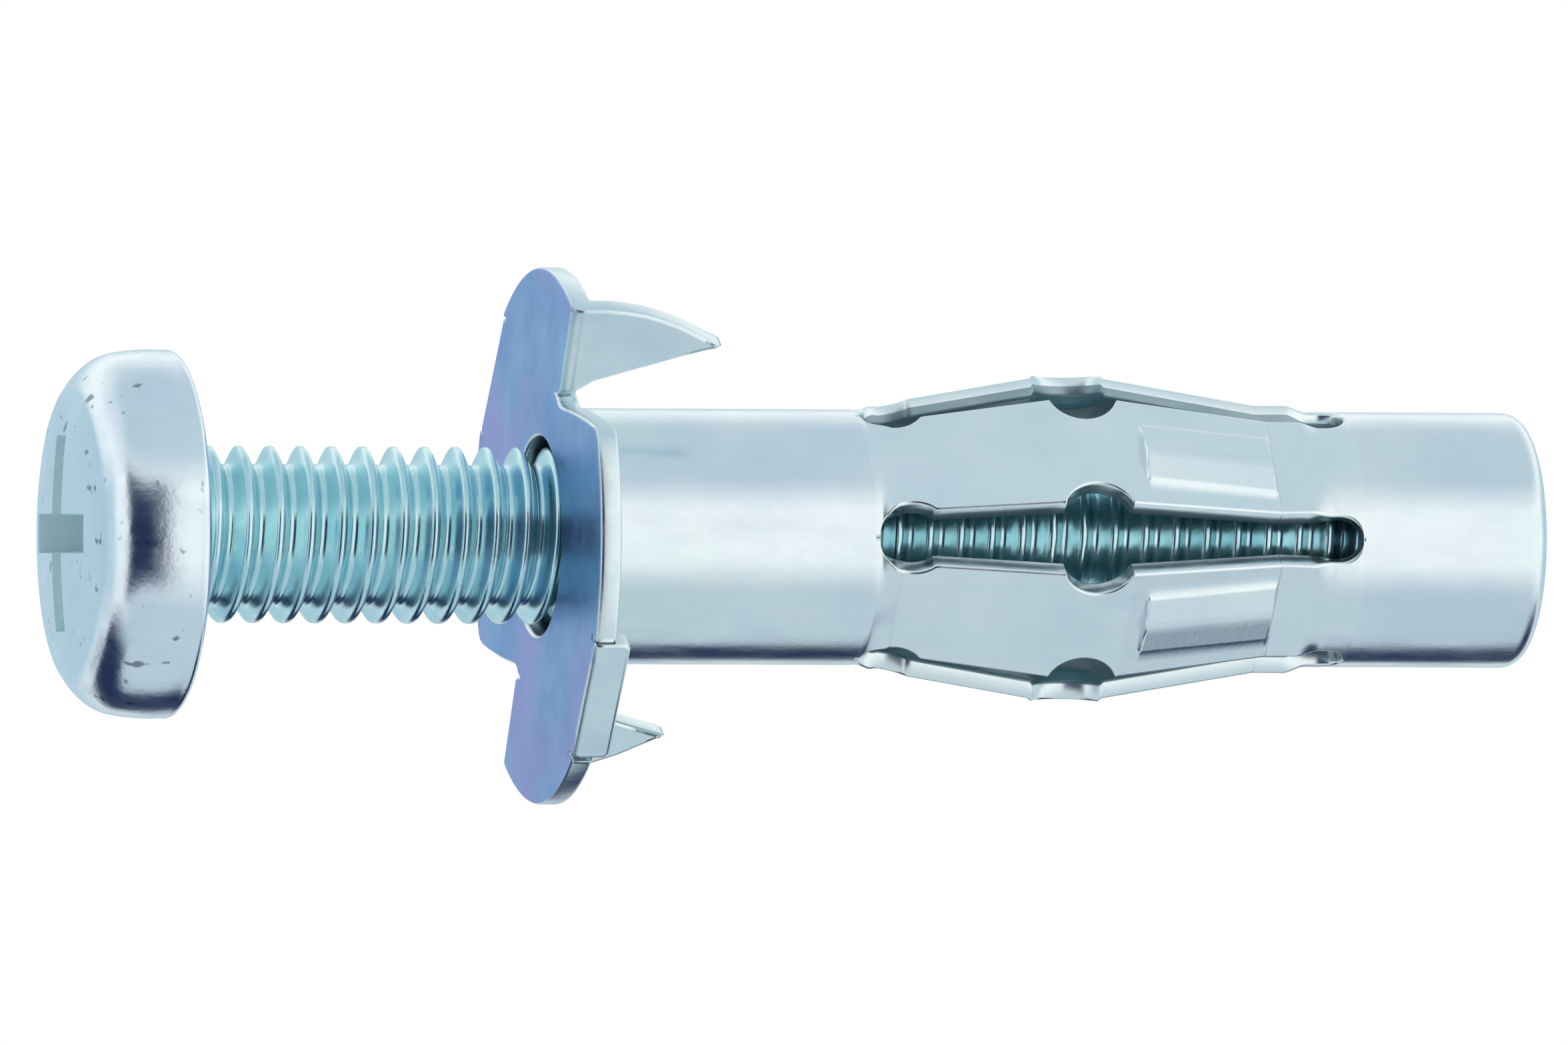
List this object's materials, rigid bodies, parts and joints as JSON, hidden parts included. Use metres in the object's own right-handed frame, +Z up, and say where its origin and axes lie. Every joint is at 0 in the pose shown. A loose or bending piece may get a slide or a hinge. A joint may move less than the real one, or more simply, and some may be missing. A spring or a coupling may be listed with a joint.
{
  "type": "hollow wall anchor",
  "caption": "Metal hollow-wall anchor: flanged sleeve with folding legs, spurs that bite the wall, a threaded rear barrel and a pan-head machine screw.",
  "frame": {"origin": "on the anchor's axis, in the plane of the flange's wall-side face, where the drilled hole opens at the wall's surface", "axes": "+X along the axis into the wall, from screw head to collar; +Z up; -Y towards the middle of one slot between two legs"},
  "size_m": [0.0333, 0.0118, 0.0118],
  "materials": {
    "sleeve_plate": "blue-passivated zinc plate, satin, with a violet cast on the flange",
    "leg_plate": "blue-passivated zinc plate, satin",
    "collar_plate": "blue-passivated zinc plate, satin",
    "nut_plate": "zinc plate, dull inside the collar",
    "screw_plate": "blue-passivated zinc plate, bright, pale teal cast"
  },
  "bodies": {
    "sleeve": {"flanged_sleeve": "sleeve_plate"},
    "leg_1_front": {"leg_1_front": "leg_plate"},
    "leg_1_rear": {"leg_1_rear": "leg_plate"},
    "leg_2_front": {"leg_2_front": "leg_plate"},
    "leg_2_rear": {"leg_2_rear": "leg_plate"},
    "leg_3_front": {"leg_3_front": "leg_plate"},
    "leg_3_rear": {"leg_3_rear": "leg_plate"},
    "leg_4_front": {"leg_4_front": "leg_plate"},
    "leg_4_rear": {"leg_4_rear": "leg_plate"},
    "leg_5_front": {"leg_5_front": "leg_plate"},
    "leg_5_rear": {"leg_5_rear": "leg_plate"},
    "collar": {"rear_collar": "collar_plate"},
    "nut": {"nut_barrel": "nut_plate"},
    "screw": {"screw": "screw_plate"}
  },
  "joints": [
    {"name": "legs_fold", "type": "hinge", "parent": "sleeve", "child": "leg_1_front", "pos_m": [0.00715, -0.00219, 0.00159], "axis": [0, -0.5878, -0.809], "range_deg": [0, 77]},
    {"name": "leg_1_knee", "type": "hinge", "parent": "leg_1_front", "child": "leg_1_rear", "pos_m": [0.01143, -0.00229, 0.00166], "axis": [0, -0.5878, -0.809], "range_deg": [-154, 0]},
    {"name": "leg_2_root", "type": "hinge", "parent": "sleeve", "child": "leg_2_front", "pos_m": [0.00715, 0.00084, 0.00258], "axis": [0, -0.9511, 0.309], "range_deg": [0, 77]},
    {"name": "leg_2_knee", "type": "hinge", "parent": "leg_2_front", "child": "leg_2_rear", "pos_m": [0.01143, 0.00087, 0.00269], "axis": [0, -0.9511, 0.309], "range_deg": [-154, 0]},
    {"name": "leg_3_root", "type": "hinge", "parent": "sleeve", "child": "leg_3_front", "pos_m": [0.00715, 0.00271, 0], "axis": [0, 0, 1], "range_deg": [0, 77]},
    {"name": "leg_3_knee", "type": "hinge", "parent": "leg_3_front", "child": "leg_3_rear", "pos_m": [0.01143, 0.00283, 0], "axis": [0, 0, 1], "range_deg": [-154, 0]},
    {"name": "leg_4_root", "type": "hinge", "parent": "sleeve", "child": "leg_4_front", "pos_m": [0.00715, 0.00084, -0.00258], "axis": [0, 0.9511, 0.309], "range_deg": [0, 77]},
    {"name": "leg_4_knee", "type": "hinge", "parent": "leg_4_front", "child": "leg_4_rear", "pos_m": [0.01143, 0.00087, -0.00269], "axis": [0, 0.9511, 0.309], "range_deg": [-154, 0]},
    {"name": "leg_5_root", "type": "hinge", "parent": "sleeve", "child": "leg_5_front", "pos_m": [0.00715, -0.00219, -0.00159], "axis": [0, 0.5878, -0.809], "range_deg": [0, 77]},
    {"name": "leg_5_knee", "type": "hinge", "parent": "leg_5_front", "child": "leg_5_rear", "pos_m": [0.01143, -0.00229, -0.00166], "axis": [0, 0.5878, -0.809], "range_deg": [-154, 0]},
    {"name": "collar_pivot", "type": "hinge", "parent": "leg_1_rear", "child": "collar", "pos_m": [0.01571, -0.00219, 0.00159], "axis": [0, -0.5878, -0.809], "range_deg": [0, 77]},
    {"name": "screw_turn", "type": "hinge", "parent": "collar", "child": "nut", "pos_m": [0.0196, 0, 0], "axis": [1, 0, 0], "range_deg": [-1440, 4140]},
    {"name": "screw_travel", "type": "slide", "parent": "nut", "child": "screw", "axis": [1, 0, 0], "range_m": [-0.0028, 0.00805]}
  ],
  "couplings": [
    {"joint": "leg_1_knee", "follows": "legs_fold", "ratio": -2},
    {"joint": "leg_2_root", "follows": "legs_fold", "ratio": 1},
    {"joint": "leg_2_knee", "follows": "legs_fold", "ratio": -2},
    {"joint": "leg_3_root", "follows": "legs_fold", "ratio": 1},
    {"joint": "leg_3_knee", "follows": "legs_fold", "ratio": -2},
    {"joint": "leg_4_root", "follows": "legs_fold", "ratio": 1},
    {"joint": "leg_4_knee", "follows": "legs_fold", "ratio": -2},
    {"joint": "leg_5_root", "follows": "legs_fold", "ratio": 1},
    {"joint": "leg_5_knee", "follows": "legs_fold", "ratio": -2},
    {"joint": "collar_pivot", "follows": "legs_fold", "ratio": 1},
    {"joint": "screw_turn", "follows": "screw_travel", "rad_per_m": 8976}
  ]
}
